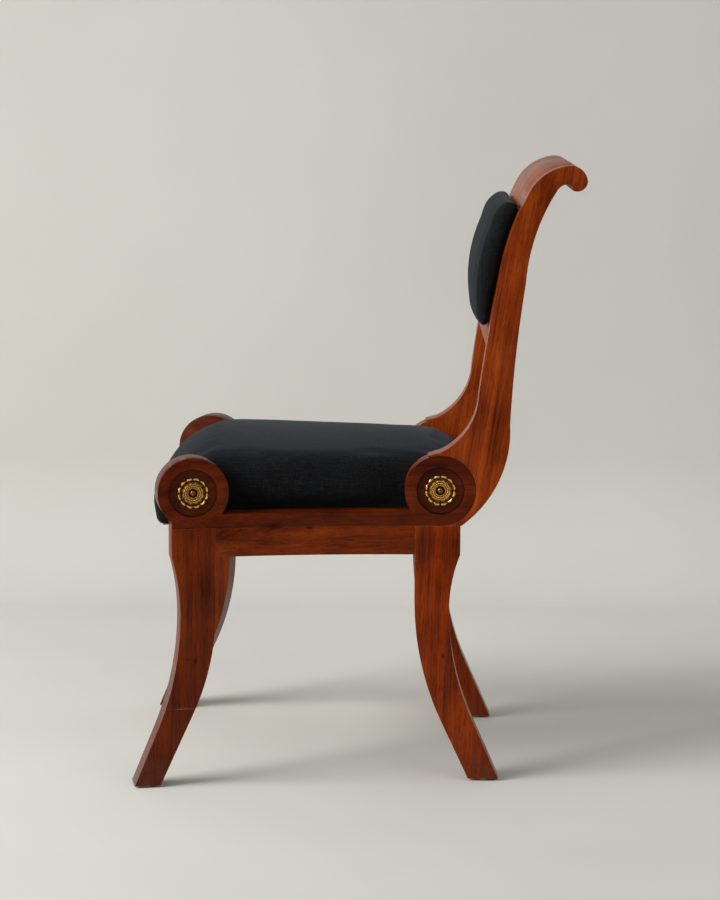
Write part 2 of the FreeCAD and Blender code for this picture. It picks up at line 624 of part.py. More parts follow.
# Rosettes in the dishes: turned rings inside a scalloped rim, each held by a round-headed pin.
def revolved(name, nodes):
    """A body turned about its own z axis from an outline of (radius, height) nodes."""
    body = doc.addObject("PartDesign::Body", name)
    sketch = body.newObject("Sketcher::SketchObject", name + "_section")
    sketch.AttachmentSupport = [(next(f for f in body.Origin.OriginFeatures if f.Role == "XZ_Plane"), "")]
    sketch.MapMode = "FlatFace"
    draw(sketch, nodes)
    turning = body.newObject("PartDesign::Revolution", name + "_turning")
    turning.Profile = sketch
    turning.ReferenceAxis = (sketch, ["V_Axis"])
    turning.Angle = 360
    body.Tip = turning
    return body


OUTWARD = Rotation(Vector(0, 1, 0), 90)


def make_rosette(which):
    name = which + "_rosette"
    bore = "(pin_radius + glue_gap / 2)"
    section = [(bore, "0"), ("rosette_radius", "0"), ("rosette_radius", "rosette_rim")]
    for ring in ("outer_ring", "inner_ring"):
        section += [(ring + " + ring_width / 2", "rosette_rim"), (ring + " + ring_width / 6", "rosette_rim + ring_height"),
                    (ring + " - ring_width / 6", "rosette_rim + ring_height"), (ring + " - ring_width / 2", "rosette_rim")]
    section[-1] = (section[-1][0], "rosette_web")
    body = revolved(name, section + [(bore, "rosette_web")])
    doc.recompute()
    notch = body.newObject("Sketcher::SketchObject", name + "_notch")
    notch.AttachmentSupport = [(next(f for f in body.Origin.OriginFeatures if f.Role == "XY_Plane"), "")]
    notch.MapMode = "FlatFace"
    half = number("petal_count")
    reach = number("rosette_radius") / math.cos(math.pi / half) + number("notch_radius") * 0.62
    circle = notch.addGeometry(Part.Circle(Vector(reach, 0, 0), Vector(0, 0, 1), number("notch_radius")), False)
    rule = notch.addConstraint(Sketcher.Constraint("Radius", circle, number("notch_radius")))
    notch.setExpression("Constraints[%d]" % rule, bound("notch_radius"))
    rule = notch.addConstraint(Sketcher.Constraint("DistanceX", -1, 1, circle, 3, reach))
    notch.setExpression("Constraints[%d]" % rule,
                        bound("rosette_radius / cos(180 / petal_count) + notch_radius * 0.62"))
    notch.addConstraint(Sketcher.Constraint("PointOnObject", circle, 3, -1))
    pocket = body.newObject("PartDesign::Pocket", name + "_scallop")
    pocket.Profile = notch
    pocket.Type = "ThroughAll"
    pocket.Midplane = True
    pattern = body.newObject("PartDesign::PolarPattern", name + "_petals")
    pattern.Originals = [pocket]
    pattern.Axis = (notch, ["N_Axis"])
    pattern.Angle = 360
    pattern.setExpression("Occurrences", bound("petal_count"))
    body.Tip = pattern
    put(body, which, "-(bend_radius + dish_depth)", DISC_AXIS[which], DISC_HEIGHT, turned=OUTWARD)
    mirrored(piece(body, "rosette_%s_left" % which), "rosette_%s_right" % which)


def make_pin(which):
    body = revolved(which + "_pin", [
        ("0", "-pin_length + rosette_web"), ("pin_radius", "-pin_length + rosette_web"),
        ("pin_radius", "rosette_web"), ("pin_head", "rosette_web", "left",
                                        "(pin_head ^ 2 + pin_dome ^ 2) / (2 * pin_dome)"),
        ("0", "rosette_web + pin_dome")])
    return put(body, which, "-(bend_radius + dish_depth)", DISC_AXIS[which], DISC_HEIGHT, turned=OUTWARD)


for which in ("front", "rear"):
    make_rosette(which)
pins = fuse("rosette_pins_one_side", [make_pin("front"), make_pin("rear")])
mirrored(piece(pins, "rosette_pins_left"), "rosette_pins_right")


# Corner blocks in the seat frame, each with the screw that holds the seat.
FRONT_BLOCK_Y = "(%s + rail_thick)" % FRONT_RAIL_Y
FRONT_BLOCK_END = "(bend_end - %s * sin(bend_angle) - glue_gap)" % SIDE_INNER
BLOCKS = {
    "front": [(inner_face_x(FRONT_BLOCK_Y), FRONT_BLOCK_Y),
              (inner_face_x(FRONT_BLOCK_END), FRONT_BLOCK_END),
              ("%s - block_length" % inner_face_x(FRONT_BLOCK_Y), FRONT_BLOCK_Y)],
    "rear": [(INNER_HALF, REAR_RAIL_Y), ("%s - block_length" % INNER_HALF, REAR_RAIL_Y), (INNER_HALF, "bend_end")],
}
SCREW_SPOT = {
    "front": ("%s - block_length * 0.3" % inner_face_x(FRONT_BLOCK_Y), FRONT_BLOCK_Y + " + block_length * 0.2"),
    "rear": ("%s - block_length * 0.3" % INNER_HALF, REAR_RAIL_Y + " - block_length * 0.2"),
}
SEAT_FOOT = "(frame_top + dust_cloth)"
BLOCK_FOOT = "(frame_top - block_drop - block_height)"


def seat_bore(name, which, foot, length, extra="glue_gap / 2"):
    x, y = SCREW_SPOT[which]
    return rod(name, "chair", (x, y, foot), "screw_radius + %s" % extra, length, "z")


for which in ("front", "rear"):
    block = plate(which + "_block", "chair", "XY_Plane", BLOCK_FOOT, "block_height", BLOCKS[which])
    block = cut(which + "_corner_block", block, [seat_bore(which + "_block_bore", which, BLOCK_FOOT, "block_height")])
    mirrored(piece(block, "corner_block_%s_left" % which), "corner_block_%s_right" % which)

screws = []
for which in ("front", "rear"):
    x, y = SCREW_SPOT[which]
    screws += [seat_bore(which + "_seat_screw", which, BLOCK_FOOT + " - screw_head_thick / 2",
                         "screw_head_thick / 2 + block_height + block_drop + dust_cloth + screw_bite", "0"),
               rod(which + "_screw_head", "chair", (x, y, BLOCK_FOOT + " - screw_head_thick"), "screw_head",
                   "screw_head_thick", "z")]
seat_screws = piece(fuse("seat_screws_one_side", screws), "seat_screws_left")
mirrored(seat_screws, "seat_screws_right")


# Drop-in seat: its own frame, webbing, hessian, stuffing and cover.
def seat_side(inset, y):
    """The side of the seat at a depth y in the bent stretch, inside the scroll board."""
    return "(%s - sqrt((%s + %s) ^ 2 - ((%s) - bend_end) ^ 2))" % (BEND_AXIS_X, SIDE_INNER, inset, y)


SEAT_NOSE = "(%s - seat_lead)" % FRONT_RAIL_Y
SEAT_TAIL = "(bend_end + seat_tail)"
SEAT_FRONT_Y = "(%s + front_padding)" % SEAT_NOSE
SEAT_REAR_Y = "(%s - seat_wrap)" % SEAT_TAIL


def side_line(inset, front_y=SEAT_FRONT_Y, rear_y=SEAT_REAR_Y):
    """Nodes along one side, from the rear to the front, parallel to the scroll board."""
    radius = "(%s + %s)" % (SIDE_INNER, inset)
    return [("%s - (%s)" % (INNER_HALF, inset), rear_y),
            ("%s - (%s)" % (INNER_HALF, inset), "bend_end", "left", radius),
            ("%s - %s * cos(bend_angle)" % (BEND_AXIS_X, radius), "bend_end - %s * sin(bend_angle)" % radius),
            ("%s - (%s) / cos(bend_angle)" % (inner_face_x(front_y), inset), front_y)]


def other_way(nodes):
    """The same nodes in the other direction, arcs included."""
    turned = [node[:2] for node in reversed(nodes)]
    for i, node in enumerate(nodes):
        if len(node) == 4:
            spot = len(nodes) - 2 - i
            turned[spot] = turned[spot] + ("left" if node[2] == "right" else "right", node[3])
    return turned


def across(nodes):
    """The same nodes on the other side of the mid plane."""
    return [("-1 * (%s)" % node[0],) + node[1:2]
            + (("left" if node[2] == "right" else "right", node[3]) if len(node) == 4 else ()) for node in nodes]


seat_rail = plate("seat_side_rail", "chair", "XY_Plane", SEAT_FOOT, "seat_rail_height",
                  side_line("seat_wrap") + other_way(side_line("seat_wrap + seat_rail_width")))
seat_rail = cut("seat_rail_bored", seat_rail, [
    seat_bore("seat_rail_bore_" + which, which, SEAT_FOOT, "screw_bite + mortise_relief") for which in ("front", "rear")])
mirrored(piece(seat_rail, "seat_frame_left"), "seat_frame_right")


def seat_end(name, y0, y1, x0, x1):
    return piece(plate(name, "chair", "XY_Plane", SEAT_FOOT, "seat_rail_height", [
        ("-1 * " + x0, y0), (x0, y0), (x1, y1), ("-1 * " + x1, y1)]), name)


inner_line = "(seat_wrap + seat_rail_width + glue_gap)"
front_inner_y = "(%s + seat_end_width)" % SEAT_FRONT_Y
seat_end("seat_frame_front", SEAT_FRONT_Y, front_inner_y,
         "(%s - %s / cos(bend_angle))" % (inner_face_x(SEAT_FRONT_Y), inner_line),
         "(%s - %s / cos(bend_angle))" % (inner_face_x(front_inner_y), inner_line))
seat_end("seat_frame_rear", "(%s - seat_back_width)" % SEAT_REAR_Y, SEAT_REAR_Y,
         "(%s - %s)" % (INNER_HALF, inner_line), "(%s - %s)" % (INNER_HALF, inner_line))

SEAT_TOP = "(%s + seat_rail_height)" % SEAT_FOOT
lengthwise = [
    box("web_long_%d" % i, "chair", ("%g * web_width - web_width / 2" % share, SEAT_FRONT_Y + " + web_inset", SEAT_TOP),
        ("web_width", "%s - %s - 2 * web_inset" % (SEAT_REAR_Y, SEAT_FRONT_Y), "web_thick"))
    for i, share in enumerate((-2.25, -0.75, 0.75, 2.25))]
piece(fuse("webbing_long", lengthwise), "seat_webbing_lengthwise")


def cross_web(i, share):
    y = "(%s + (%s - %s) * %g)" % (SEAT_FRONT_Y, SEAT_REAR_Y, SEAT_FRONT_Y, share)
    reach = "(%s - web_inset)" % seat_side("seat_wrap", y + " + web_width / 2")
    return box("web_cross_%d" % i, "chair", ("-" + reach, y + " - web_width / 2", SEAT_TOP + " + web_thick"),
               ("2 * " + reach, "web_width", "web_thick"))


piece(fuse("webbing_cross", [cross_web(i, share) for i, share in enumerate((0.2, 0.38, 0.56, 0.74))]),
      "seat_webbing_crosswise")
edge = side_line("seat_wrap + soft_gap", SEAT_FRONT_Y + " + soft_gap", SEAT_REAR_Y + " - soft_gap")
HESSIAN_Z = "(%s + 2 * web_thick)" % SEAT_TOP
piece(plate("hessian", "chair", "XY_Plane", HESSIAN_Z, "hessian_thick", edge + across(other_way(edge))),
      "seat_hessian")
dust = plate("dust", "chair", "XY_Plane", "frame_top", "dust_cloth", edge + across(other_way(edge)))
piece(cut("dust_bored", dust, both_sides("dust_bores", [
    seat_bore("dust_bore_" + which, which, "frame_top - dust_cloth", "3 * dust_cloth") for which in ("front", "rear")])),
    "seat_dust_cover")

doc.recompute()
value = {alias: number(alias) for alias in SIZES}
seat_nose, seat_tail = number(SEAT_NOSE), number(SEAT_TAIL)


# Soft pieces: lofts through sections of lines and arcs.
def closed(steps):
    """A closed wire from its first point and then (end,) for a line or (middle, end) for an arc."""
    start = here = steps[0]
    edges = []
    for step in steps[1:] + [(start,)]:
        end = step[-1]
        if len(step) == 1:
            edges.append(Part.LineSegment(here, end).toShape())
        else:
            edges.append(Part.Arc(here, step[0], end).toShape())
        here = end
    return Part.Wire(edges)


def soft(shape, name):
    item = doc.addObject("Part::Feature", name)
    item.Shape = shape
    return item


def ease(t):
    t = min(max(t, 0.0), 1.0)
    return t * t * (3 - 2 * t)


def scroll_board_x(y):
    """Inner face of the left scroll board at a depth y of the chair."""
    radius = value["bend_radius"] + value["side_thick"]
    axis = value["rear_half_width"] + value["bend_radius"]
    turn = math.radians(value["bend_angle"])
    ahead = value["bend_end"] - y
    if ahead <= 0:
        return axis - radius
    if ahead < radius * math.sin(turn):
        return axis - math.sqrt(radius ** 2 - ahead ** 2)
    return axis - radius * math.cos(turn) + (ahead - radius * math.sin(turn)) * math.tan(turn)


def seat_crown(y):
    """Height of the seat along the mid plane: nearly level, rounded at both ends."""
    front = max(seat_nose + value["front_roll"] - y, 0) / value["front_roll"]
    rear = max(y - seat_tail + value["rear_roll"], 0) / value["rear_roll"]
    fall = value["seat_fall"] * max(y - seat_nose - value["front_roll"], 0)
    return (value["frame_top"] + value["seat_height"] - fall - value["front_roll_depth"] * front ** 2.2
            - value["rear_roll_depth"] * rear ** 2.5)


DISC_SPOTS = {which: number("%s + %s" % ("bend_end" if which == "rear" else
                                         "bend_end - %s * sin(bend_angle)" % SIDE_INNER,
                                         DISC_AXIS[which])) for which in ("front", "rear")}


# The cushion swells over the scroll boards between these depths, clear of the discs.
disc_room = value["disc_radius"] + value["disc_clear"]
SWELL = DISC_SPOTS["front"] + disc_room, DISC_SPOTS["rear"] - disc_room


def seat_overhang(y):
    """How far the cushion swells over the scroll boards."""
    return value["seat_overhang"] * ease((y - SWELL[0]) / value["swell_run"]) * ease((SWELL[1] - y) / value["swell_run"])


def corner_inset(y, inset):
    """How far the rounded front corner draws the side in, at a depth y."""
    radius = value["seat_corner"] - inset
    behind = min(max(y - seat_nose - inset, 0), radius)
    return radius - math.sqrt(behind * (2 * radius - behind))


def seat_section(y, inset, foot):
    """Half outline doubled: side inside the board, swell, rounded edge and crown."""
    side = scroll_board_x(y) - value["seat_side_gap"] - inset - corner_inset(y, inset)
    swell = side + seat_overhang(y)
    ledge = value["frame_top"] + value["board_rise"] + value["board_gap"]
    rise = seat_crown(y) - inset - ledge

    def at(x, share):
        return Vector(x, y, ledge + share * rise)

    half = [Vector(side, y, foot), (Vector(side, y, max(ledge, foot + 1)),), (at(swell, 0.22), at(swell - 1, 0.48)),
            (at(swell - 6, 0.72), at(swell - 24, 0.85))]
    flip = lambda p: Vector(-p.x, p.y, p.z)
    back = [(at(0, 1), flip(half[3][1])), (flip(half[3][0]), flip(half[2][1])), (flip(half[2][0]), flip(half[1][0])),
            (flip(half[0]),)]
    return closed(half + back)


def seat_loft(inset, foot):
    """The seat's form, drawn in by an inset: close sections at its ends, even ones between."""
    nose = [seat_nose + value["seat_corner"] * share for share in (0.13, 0.5, 1, 2.6, 5)]
    runs = [value["swell_run"] * share for share in (0, 0.35, 0.65, 1)]
    swelling = [SWELL[0] + run for run in runs] + [(SWELL[0] + SWELL[1]) / 2] + [SWELL[1] - run for run in runs[::-1]]
    tail = [seat_tail - value["rear_roll"] * share for share in (1, 0.6, 0.25)]
    stations = [seat_nose + inset] + nose + swelling + tail + [seat_tail - inset]
    return Part.makeLoft([seat_section(y, inset, foot) for y in stations], True, True)


under = value["frame_top"] + value["soft_gap"]
stuffing_foot = number(HESSIAN_Z + " + hessian_thick + soft_gap")
seat_skin = seat_loft(0, under)
seat_room = seat_loft(value["cloth"], under - 10)
piece(soft(seat_loft(value["cloth"] + 3 * value["soft_gap"], stuffing_foot), "seat_filling"), "seat_stuffing")
piece(soft(seat_skin.cut(seat_room), "seat_fabric"), "seat_cover")


# Back pad: lofted across the back, its rear face against the rails and the panel.
def stile_front(z):
    """Front edge of the stiles at a height z, on the two long arcs of their outline."""
    chest = (value["chest_set"], value["chest_height"])
    lower = (value["waist_set"], value["waist_height"]) + chest + (value["waist_radius"],)
    upper = chest + (number(BROW[0]), number(BROW[1]), value["chest_radius"])
    x0, z0, x1, z1, radius = lower if z < value["chest_height"] else upper
    chord = math.hypot(x1 - x0, z1 - z0)
    rise = math.sqrt(radius ** 2 - chord ** 2 / 4)
    cx = (x0 + x1) / 2 + (z1 - z0) / chord * rise
    cz = (z0 + z1) / 2 - (x1 - x0) / chord * rise
    return value["bend_end"] + cx - math.sqrt(radius ** 2 - (z - cz) ** 2)


def pad_section(x, share, inset):
    """Outline at a distance x from the mid plane, with a share of the full bulge."""
    foot = number(BACK_FOOT) + value["pad_foot_rise"] + inset
    top = value["crown_height"] - value["pad_drop"] - inset
    height = top - foot
    bulge = value["pad_bulge"] * share - inset

    def at(part, forward):
        z = foot + part * height
        return Vector(x, stile_front(z) - forward * bulge, z)

    rear_foot, rear_top = at(0, 0), at(0.93, 0)
    behind = Vector(0, value["panel_thick"], 0)
    return closed([rear_foot + behind, (at(0, 0.25),), (at(0.03, 0.46), at(0.12, 0.69)),
                   (at(0.42, 1.03), at(0.8, 1.02)), (at(0.95, 0.93), at(0.995, 0.68)),
                   (at(0.985, 0.38), rear_top), (rear_top + behind,)])


def pad_loft(inset):
    """The pad's form: full over most of the width, rounded down to its sides."""
    half = number(INNER_HALF) - value["pad_side_gap"]
    edge = value["pad_edge"]
    sections = []
    for step in range(-4, 5):
        turn = math.radians(22.5 * step)
        x = max(min(half * math.sin(turn), half - inset), inset - half)
        sections.append(pad_section(x, edge + (1 - edge) * max(math.cos(turn), 0) ** 0.6, inset))
    return Part.makeLoft(sections, True, True)


back_wall = plate("pad_seat", "back", "YZ_Plane", "-1 * " + INNER_HALF, "2 * " + INNER_HALF, STILE_OUTLINE)
back_wall.setExpression("Placement.Base.y", bound("bend_end - soft_gap"))
doc.recompute()
pad_filling = pad_loft(value["cloth"] + value["soft_gap"])
pad_skin = pad_loft(0).cut(pad_loft(value["cloth"]))
piece(cut("pad_filling_seated", soft(pad_filling, "pad_filling"), [back_wall]), "back_stuffing")
piece(cut("pad_fabric_seated", soft(pad_skin, "pad_fabric"), [back_wall]), "back_cover")

doc.recompute()


def check_and_write():
    for item in doc.Objects:
        if "Invalid" in item.State or "Error" in item.State:
            raise RuntimeError("%s is %s" % (item.Name, item.State))
    for item in parts:
        if item.Shape.isNull() or not item.Shape.isValid():
            raise RuntimeError("%s has no valid shape" % item.Label)
    os.makedirs("parts", exist_ok=True)
    for item in parts:
        item.Shape.exportStep("parts/%s.step" % item.Label)
        box_of = item.Shape.optimalBoundingBox(False)
        print("%-22s solids %d volume %9.0f  x %7.1f %7.1f  y %7.1f %7.1f  z %6.1f %6.1f" % (
            item.Label, len(item.Shape.Solids), item.Shape.Volume, box_of.XMin, box_of.XMax,
            box_of.YMin, box_of.YMax, box_of.ZMin, box_of.ZMax))


check_and_write()
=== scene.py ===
# Klismos side chair: polished red-brown hardwood, black linen, stamped brass.
# Metres. +Z is up, +X is the sitter's left, the chair faces -Y.
import math
import bmesh
import bpy
from mathutils import Matrix, Vector


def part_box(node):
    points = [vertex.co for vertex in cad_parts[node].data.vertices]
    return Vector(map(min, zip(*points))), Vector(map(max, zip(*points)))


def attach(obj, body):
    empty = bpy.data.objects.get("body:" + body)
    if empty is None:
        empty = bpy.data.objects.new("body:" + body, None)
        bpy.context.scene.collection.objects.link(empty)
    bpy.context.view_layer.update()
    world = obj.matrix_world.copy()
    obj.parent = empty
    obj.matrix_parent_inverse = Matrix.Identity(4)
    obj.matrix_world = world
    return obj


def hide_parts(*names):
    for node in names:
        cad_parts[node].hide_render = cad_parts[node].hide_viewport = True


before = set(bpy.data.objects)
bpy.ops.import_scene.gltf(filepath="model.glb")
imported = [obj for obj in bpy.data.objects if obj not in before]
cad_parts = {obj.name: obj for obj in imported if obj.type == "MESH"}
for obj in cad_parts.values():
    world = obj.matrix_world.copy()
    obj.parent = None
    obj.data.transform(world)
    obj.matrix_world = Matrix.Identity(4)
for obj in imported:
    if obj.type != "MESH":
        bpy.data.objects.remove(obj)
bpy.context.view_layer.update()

scene = bpy.context.scene
scene.view_settings.view_transform = "Standard"

# Camera: a long lens 3.8 m from the chair's left side, level with the crest rail and
# tipped down a little.
lens = bpy.data.cameras.new("side_view")
lens.sensor_fit = "VERTICAL"
lens.sensor_height = 36
lens.lens = 104.78
camera = bpy.data.objects.new("side_view", lens)
scene.collection.objects.link(camera)
pitch, yaw, roll = math.radians(8.5410), math.radians(0.83085), math.radians(-0.2282)
turn = Matrix.Rotation(yaw, 3, "Z")
ahead = turn @ Vector((-math.cos(pitch), 0, -math.sin(pitch)))
right = Matrix.Rotation(roll, 3, ahead) @ turn @ Vector((0, 1, 0))
axes = Matrix((right, right.cross(ahead), -ahead)).transposed()
camera.matrix_world = Matrix.Translation((3.82674, 0.05686, 1.02134)) @ axes.to_4x4()
scene.camera = camera


# Legs: four sabre legs sawn from 36 mm mahogany with the grain running straight down while
# the leg curves. Their arrises are eased with a scraper; shoes and a broom have rubbed the
# polish from the feet, and one old hairline crack crosses the near front leg.
def linear(code):
    """A hex sRGB colour as the linear RGBA that a shader takes."""
    parts = [int(code[i:i + 2], 16) / 255 for i in (1, 3, 5)]
    return tuple(c / 12.92 if c <= 0.04045 else ((c + 0.055) / 1.055) ** 2.4 for c in parts) + (1,)


def add(material, kind, settings=None, inputs=None):
    """Adds one node with its settings; inputs are sockets, nodes or values by name or place."""
    tree = material.node_tree
    node = tree.nodes.new(kind)
    for key, setting in (settings or {}).items():
        setattr(node, key, setting)
    for key, source in (inputs or {}).items():
        if isinstance(source, bpy.types.Node):
            source = source.outputs[0]
        if isinstance(source, bpy.types.NodeSocket):
            tree.links.new(source, node.inputs[key])
        else:
            node.inputs[key].default_value = source
    return node


def finish_named(name):
    """A new material and its shader."""
    material = bpy.data.materials.new(name)
    material.use_nodes = True
    return material, material.node_tree.nodes["Principled BSDF"]


def join(material, source, shader, socket):
    """Links a node or one of its sockets to a socket of the shader."""
    if isinstance(source, bpy.types.Node):
        source = source.outputs[0]
    material.node_tree.links.new(source, shader.inputs[socket])


def graded(material, source, stops):
    """A colour ramp over a factor; stops are (place, hex colour or grey level)."""
    node = add(material, "ShaderNodeValToRGB", inputs={0: source})
    while len(node.color_ramp.elements) < len(stops):
        node.color_ramp.elements.new(0.5)
    for element, (place, tone) in zip(node.color_ramp.elements, stops):
        element.position = place
        element.color = linear(tone) if isinstance(tone, str) else (tone, tone, tone, 1)
    return node.outputs[0]


def tinted(material, under, over, share, blend="MIX"):
    """One colour laid over another by a share from 0 to 1."""
    node = add(material, "ShaderNodeMix", {"data_type": "RGBA", "blend_type": blend},
               {0: share, 6: under, 7: linear(over) if isinstance(over, str) else over})
    return node.outputs[2]


def times(material, one, other, plus=0.0):
    """One factor times another, plus a level."""
    return add(material, "ShaderNodeMath", {"operation": "MULTIPLY_ADD"}, {0: one, 1: other, 2: plus})


def embossed(material, shader, height, strength, depth):
    """Lets a height show as relief on the shader; depth is in metres."""
    bump = add(material, "ShaderNodeBump", inputs={"Strength": strength, "Distance": depth, "Height": height})
    join(material, bump, shader, "Normal")


def mark(material, where, centre, size, soft=0.35):
    """A share that is 1 inside an ellipsoid round a centre, with a rough edge; metres."""
    rough = add(material, "ShaderNodeTexNoise", inputs={"Vector": where, "Scale": 380.0, "Detail": 2.0})
    local = add(material, "ShaderNodeMapping", {"vector_type": "TEXTURE"},
                {"Vector": where, "Location": centre, "Scale": size})
    far = add(material, "ShaderNodeVectorMath", {"operation": "LENGTH"}, {0: local})
    ragged = times(material, rough, 0.9, times(material, far.outputs["Value"], 1.0, -0.45))
    return graded(material, ragged, [(1.0 - soft, 1.0), (1.0, 0.0)])


def ring(material, where, centre, radius, width):
    """A share that is 1 on a circle about a line along x, fading over a width to each side."""
    local = add(material, "ShaderNodeMapping", {"vector_type": "TEXTURE"},
                {"Vector": where, "Location": (0, *centre), "Scale": (1e6, 1, 1)})
    far = add(material, "ShaderNodeVectorMath", {"operation": "LENGTH"}, {0: local}).outputs["Value"]
    return add(material, "ShaderNodeMath", {"operation": "COMPARE"}, {0: far, 1: radius, 2: width})


def polished_mahogany(name, dark, mid, light, lean=(0, 0, 0), marks=(), shade_rings=(), feet=False):
    """French-polished mahogany. Ribbon figure, fibres and dark pores run along the piece, the colour drifts
    slowly, and the arrises are painted paler, partly as rubbed wear and partly as a painted highlight: the
    eye gets depth under a film."""
    material, shader = finish_named(name)
    where = add(material, "ShaderNodeTexCoord").outputs["Object"]
    # In the turned space the grain runs along z and a length of 1 is a millimetre.
    turned = add(material, "ShaderNodeMapping",
                 inputs={"Vector": where, "Rotation": lean, "Scale": (1000, 1000, 1000)})

    def streaks(width, length, detail, bend=0.0):
        # Noise drawn out along the grain, each streak of a width and a length in mm.
        along = add(material, "ShaderNodeMapping",
                    inputs={"Vector": turned, "Scale": (1 / width, 1 / width, 1 / length)})
        return add(material, "ShaderNodeTexNoise", inputs={
            "Vector": along, "Scale": 1.0, "Detail": detail, "Roughness": 0.6, "Distortion": bend})

    figure = streaks(15, 260, 2.0, 0.35)
    fibres = streaks(2.6, 120, 5.0)
    # Pores are 0.3 mm wide; they are drawn 1.1 mm wide and 12 mm long so that they show.
    pores = graded(material, streaks(1.2, 14, 2.0), [(0.54, 0.0), (0.66, 1.0)])
    drift = add(material, "ShaderNodeTexNoise", inputs={"Vector": turned, "Scale": 1 / 75, "Detail": 2.0})
    tone = times(material, drift, 0.45, -0.20)
    tone = times(material, figure, 0.55, times(material, fibres, 0.42, tone))
    colour = graded(material, tone, [(0.30, dark), (0.50, mid), (0.72, light)])
    colour = tinted(material, colour, "#220a03", times(material, pores, 0.5))
    if feet:
        # Rubbed, greyer wood that fades out 55 mm above the floor.
        height = add(material, "ShaderNodeSeparateXYZ", inputs={0: where}).outputs[2]
        low = add(material, "ShaderNodeMapRange", inputs={0: height, 1: 0.004, 2: 0.055, 3: 0.62, 4: 0.0})
        patchy = times(material, low, graded(material, streaks(5, 14, 3.0), [(0.35, 0.0), (0.62, 1.0)]))
        colour = tinted(material, colour, "#5d3a2a", patchy)
    for centre, size, tint, share in marks:
        spot = mark(material, where, centre, size)
        colour = tinted(material, colour, tint, times(material, spot, share))
    # Painted shade: dark circles (#120502) darken the dishes' rims, floors and turned lines where shade
    # falls.
    for centre, radius, width, share in shade_rings:
        line = ring(material, where, centre, radius, width)
        colour = tinted(material, colour, "#120502", times(material, line, share))
    # Wear and painted highlight: the eased arris strips are painted pale orange, partly polish rubbed away
    # and partly a painted highlight along the edges.
    pale_arris = add(material, "ShaderNodeAttribute", {"attribute_name": "arris"}).outputs["Fac"]
    wear_and_highlight = times(material, pale_arris, graded(material, streaks(3, 22, 3.0), [(0.38, 0.08), (0.62, 0.70)]))
    colour = tinted(material, colour, "#b8683a", wear_and_highlight)
    join(material, colour, shader, "Base Color")
    rough = add(material, "ShaderNodeMapRange", inputs={0: drift, 1: 0.3, 2: 0.7, 3: 0.24, 4: 0.40})
    join(material, rough, shader, "Roughness")
    shader.inputs["IOR"].default_value = 1.45
    shader.inputs["Specular IOR Level"].default_value = 0.13
    embossed(material, shader, times(material, pores, -0.7, fibres), 0.18, 0.0003)
    return material


def merged(node, angle=0.5):
    """A CAD node's mesh as a bmesh with its doubles merged and its flat faces joined."""
    shape = bmesh.new()
    shape.from_mesh(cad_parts[node].data)
    bmesh.ops.remove_doubles(shape, verts=shape.verts, dist=0.00002)
    if angle:
        bmesh.ops.dissolve_limit(shape, angle_limit=math.radians(angle), verts=shape.verts,
                                 edges=shape.edges)
    return shape


def set_up(name, shape, material, replaced=(), smooth=28):
    """Makes a piece of a bmesh: smooth but for its sharp edges, riding on the chair."""
    mesh = bpy.data.meshes.new(name)
    shape.to_mesh(mesh)
    shape.free()
    mesh.materials.clear()
    mesh.materials.append(material)
    mesh.polygons.foreach_set("use_smooth", [True] * len(mesh.polygons))
    mesh.polygons.foreach_set("material_index", [0] * len(mesh.polygons))
    mesh.set_sharp_from_angle(angle=math.radians(smooth))
    piece = bpy.data.objects.new(name, mesh)
    scene.collection.objects.link(piece)
    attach(piece, "root")
    if replaced:
        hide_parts(*replaced)
    return piece


def eased(node, name, material, arris=0.0008, steps=2, wear_and_highlight=True):
    """A CAD piece with its sharp arrises eased; the eased strips carry the arris attribute."""
    shape = merged(node)
    sharp = [e for e in shape.edges
             if len(e.link_faces) == 2 and e.calc_face_angle(0) > math.radians(35)]
    bmesh.ops.bevel(shape, geom=sharp, offset=arris, offset_type="OFFSET", segments=steps, profile=0.5,
                    affect="EDGES", material=-1, clamp_overlap=True)
    pale_arris = shape.loops.layers.float_color.new("arris")
    for face in shape.faces:
        strip = face.calc_area() < arris * max(e.calc_length() for e in face.edges)
        for corner in face.loops:
            corner[pale_arris] = (1, 1, 1, 1) if strip and wear_and_highlight else (0, 0, 0, 1)
    return set_up(name, shape, material, [node])


# Marks: middle and half size in metres, colour and share. Two knocks, the crack and a bared
# foot corner on the near front leg, and one knot in the near rear leg.
front_leg_marks = [
    ((0.226, -0.2254, 0.181), (0.020, 0.0040, 0.0055), "#1c0a04", 0.80),
    ((0.226, -0.2357, 0.183), (0.020, 0.0050, 0.0025), "#1c0a04", 0.60),
    ((0.226, -0.2455, 0.112), (0.020, 0.0250, 0.0009), "#b87a58", 0.50),
    ((0.226, -0.300, 0.012), (0.020, 0.0060, 0.0080), "#a8562a", 0.70)]
rear_leg_marks = [((0.199, 0.123, 0.182), (0.020, 0.0030, 0.0050), "#240c04", 0.70)]
# Painted light and shade: the front and rear legs are the same mahogany, but the front legs' tones are
# painted darker as painted shade and the rear legs' tones lighter as painted light.
SHADED_FRONT_TONES = "#2e0d02", "#602103", "#7c3006"
LIT_REAR_TONES = "#451503", "#863005", "#a2420a"
leg_wood = {
    "front": polished_mahogany("polished_mahogany_front_legs", *SHADED_FRONT_TONES, marks=front_leg_marks,
                               feet=True),
    "rear": polished_mahogany("polished_mahogany_rear_legs", *LIT_REAR_TONES, lean=(0.03, 0, 0),
                              marks=rear_leg_marks, feet=True)}
CORNERS = [(end, side) for end in ("front", "rear") for side in ("left", "right")]
for end, side in CORNERS:
    eased("%s_leg_%s" % (end, side), "leg_%s_%s" % (end, side), leg_wood[end], arris=0.0013)


